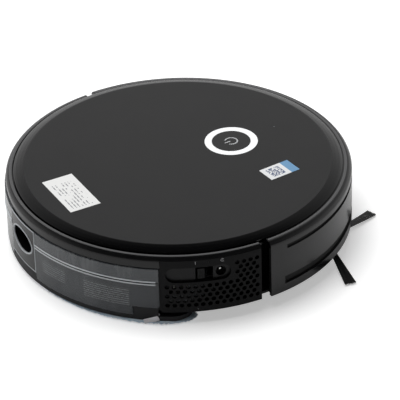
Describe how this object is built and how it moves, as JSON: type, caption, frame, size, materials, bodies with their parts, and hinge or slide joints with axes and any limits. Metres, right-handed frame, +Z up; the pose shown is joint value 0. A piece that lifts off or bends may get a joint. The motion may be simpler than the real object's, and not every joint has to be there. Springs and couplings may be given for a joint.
{
  "type": "robot vacuum",
  "caption": "Low round robot vacuum with sprung front bumper, dropping drive wheels, side brushes, brush roller, and a slide-out rear bin and tank with a mop plate.",
  "frame": {"origin": "centre of the round body on the floor plane", "axes": "+Z up; -Y towards the bumper, the way it drives; +Y towards the rear bin and tank; +X is the robot's left side"},
  "size_m": [0.3672, 0.3453, 0.0791],
  "materials": {
    "casing_black": "satin moulded",
    "cover_grey": "fine satin",
    "gloss_black": "polished",
    "light_white": "diffusing",
    "board_green": "coated",
    "label_paper": "printed film",
    "smoky_clear": "polished, translucent",
    "grey_plastic": "satin moulded",
    "metal_can": "plated",
    "contact_metal": "plated",
    "steel": "plain",
    "tyre_rubber": "moulded tread",
    "brush_bristle": "bristles",
    "roller_blue": "moulded blades",
    "gear_white": "acetal",
    "cell_wrap": "shrink wrap",
    "filter_white": "pleated",
    "mop_fabric": "looped microfibre",
    "speaker_cone": "felted"
  },
  "bodies": {
    "root": {"base_tray": "casing_black", "upper_housing": "casing_black", "top_cover": "cover_grey", "light_ring": "light_white", "main_board": "board_green", "product_label": "label_paper", "code_label": "label_paper", "side_panel_right": "casing_black", "side_panel_left": "casing_black", "control_tray": "casing_black", "dc_jack": "gloss_black", "bumper_springs": "steel", "side_brush_motors": "grey_plastic", "brush_gear_case": "grey_plastic", "brush_motor": "metal_can", "brush_guard": "grey_plastic", "fan_housing": "grey_plastic", "fan_motor": "metal_can", "suction_duct": "casing_black", "speaker": "speaker_cone", "battery_pack": "cell_wrap", "battery_cover": "casing_black", "cliff_sensors": "gloss_black", "charging_contacts": "contact_metal", "screws": "steel"},
    "bumper": {"bumper_shell": "gloss_black", "bumper_window": "gloss_black"},
    "start_button": {"start_button": "gloss_black"},
    "power_switch": {"power_switch": "gloss_black"},
    "wheel_arm_left": {"wheel_arm_left": "casing_black", "wheel_motor_left": "metal_can"},
    "wheel_arm_right": {"wheel_arm_right": "casing_black", "wheel_motor_right": "metal_can"},
    "wheel_left": {"wheel_hub_left": "grey_plastic", "tyre_left": "tyre_rubber", "wheel_gear_left": "gear_white"},
    "wheel_right": {"wheel_hub_right": "grey_plastic", "tyre_right": "tyre_rubber", "wheel_gear_right": "gear_white"},
    "motor_pinion_left": {"motor_pinion_left": "steel"},
    "motor_pinion_right": {"motor_pinion_right": "steel"},
    "caster_swivel": {"caster_fork": "casing_black"},
    "caster_wheel": {"caster_wheel": "tyre_rubber"},
    "side_brush_left": {"side_brush_left": "brush_bristle"},
    "side_brush_right": {"side_brush_right": "brush_bristle"},
    "brush_roller": {"brush_roller": "roller_blue", "roller_gear": "gear_white"},
    "brush_idler": {"brush_idler": "gear_white"},
    "brush_pinion": {"brush_pinion": "steel"},
    "fan_impeller": {"fan_impeller": "gear_white"},
    "bin_module": {"water_tank": "smoky_clear", "tank_cover": "smoky_clear", "module_handle": "casing_black", "dust_bin": "smoky_clear", "bin_lid": "casing_black", "bin_filter": "filter_white"},
    "release_button": {"release_button": "grey_plastic"},
    "mop_plate": {"mop_plate": "casing_black", "mop_cloth": "mop_fabric"},
    "guard_latches": {"guard_latches": "gloss_black"}
  },
  "joints": [
    {"name": "bumper_push", "type": "slide", "parent": "root", "child": "bumper", "axis": [0, 1, 0], "range_m": [0, 0.003], "stiffness_N_per_m": 400, "springref_m": -0.002, "deforming": ["bumper_springs"]},
    {"name": "button_press", "type": "slide", "parent": "root", "child": "start_button", "axis": [0, 0, -1], "range_m": [0, 0.0008], "stiffness_N_per_m": 900, "springref_m": -0.0004},
    {"name": "switch_slide", "type": "slide", "parent": "root", "child": "power_switch", "axis": [-0.4035, -0.915, 0], "range_m": [0, 0.0045]},
    {"name": "wheel_drop_left", "type": "hinge", "parent": "root", "child": "wheel_arm_left", "pos_m": [0.094, -0.048, 0.04], "axis": [-1, 0, 0], "range_deg": [0, 22], "stiffness_Nm_per_rad": 0.12, "springref_deg": 74.48},
    {"name": "wheel_spin_left", "type": "hinge", "parent": "wheel_arm_left", "child": "wheel_left", "pos_m": [0.118, 0, 0.033], "axis": [1, 0, 0], "continuous": true},
    {"name": "motor_spin_left", "type": "hinge", "parent": "wheel_arm_left", "child": "motor_pinion_left", "pos_m": [0.092, -0.02255, 0.04121], "axis": [1, 0, 0], "continuous": true},
    {"name": "side_brush_spin_left", "type": "hinge", "parent": "root", "child": "side_brush_left", "pos_m": [0.1103, -0.102, 0.01], "axis": [0, 0, 1], "continuous": true},
    {"name": "wheel_drop_right", "type": "hinge", "parent": "root", "child": "wheel_arm_right", "pos_m": [-0.094, -0.048, 0.04], "axis": [-1, 0, 0], "range_deg": [0, 22], "stiffness_Nm_per_rad": 0.12, "springref_deg": 74.48},
    {"name": "wheel_spin_right", "type": "hinge", "parent": "wheel_arm_right", "child": "wheel_right", "pos_m": [-0.118, 0, 0.033], "axis": [1, 0, 0], "continuous": true},
    {"name": "motor_spin_right", "type": "hinge", "parent": "wheel_arm_right", "child": "motor_pinion_right", "pos_m": [-0.092, -0.02255, 0.04121], "axis": [1, 0, 0], "continuous": true},
    {"name": "side_brush_spin_right", "type": "hinge", "parent": "root", "child": "side_brush_right", "pos_m": [-0.1103, -0.102, 0.01], "axis": [0, 0, 1], "continuous": true},
    {"name": "caster_turn", "type": "hinge", "parent": "root", "child": "caster_swivel", "pos_m": [0, -0.125, 0.03], "axis": [0, 0, 1], "continuous": true},
    {"name": "caster_roll", "type": "hinge", "parent": "caster_swivel", "child": "caster_wheel", "pos_m": [0, -0.118, 0.012], "axis": [1, 0, 0], "continuous": true},
    {"name": "roller_spin", "type": "hinge", "parent": "root", "child": "brush_roller", "pos_m": [0, 0.042, 0.02], "axis": [1, 0, 0], "continuous": true},
    {"name": "idler_spin", "type": "hinge", "parent": "root", "child": "brush_idler", "pos_m": [0.086, 0.04353, 0.03743], "axis": [1, 0, 0], "continuous": true},
    {"name": "brush_pinion_spin", "type": "hinge", "parent": "root", "child": "brush_pinion", "pos_m": [0.086, 0.03778, 0.05322], "axis": [1, 0, 0], "continuous": true},
    {"name": "fan_spin", "type": "hinge", "parent": "root", "child": "fan_impeller", "pos_m": [-0.118, 0.072, 0.032], "axis": [0, 0, 1], "continuous": true},
    {"name": "module_slide", "type": "slide", "parent": "root", "child": "bin_module", "axis": [0, 1, 0], "range_m": [0, 0.12]},
    {"name": "release_press", "type": "slide", "parent": "bin_module", "child": "release_button", "axis": [-0.061, -0.9981, 0], "range_m": [0, 0.0025], "stiffness_N_per_m": 500, "springref_m": -0.0006},
    {"name": "mop_slide", "type": "slide", "parent": "bin_module", "child": "mop_plate", "axis": [0, 1, 0], "range_m": [0, 0.11]},
    {"name": "latch_slide", "type": "slide", "parent": "root", "child": "guard_latches", "axis": [0, -1, 0], "range_m": [0, 0.003], "stiffness_N_per_m": 400, "springref_m": -0.001}
  ],
  "couplings": [
    {"joint": "motor_spin_left", "follows": "wheel_spin_left", "ratio": -4},
    {"joint": "motor_spin_right", "follows": "wheel_spin_right", "ratio": -4},
    {"joint": "idler_spin", "follows": "roller_spin", "ratio": -0.38889},
    {"joint": "brush_pinion_spin", "follows": "roller_spin", "ratio": 1.1667}
  ]
}
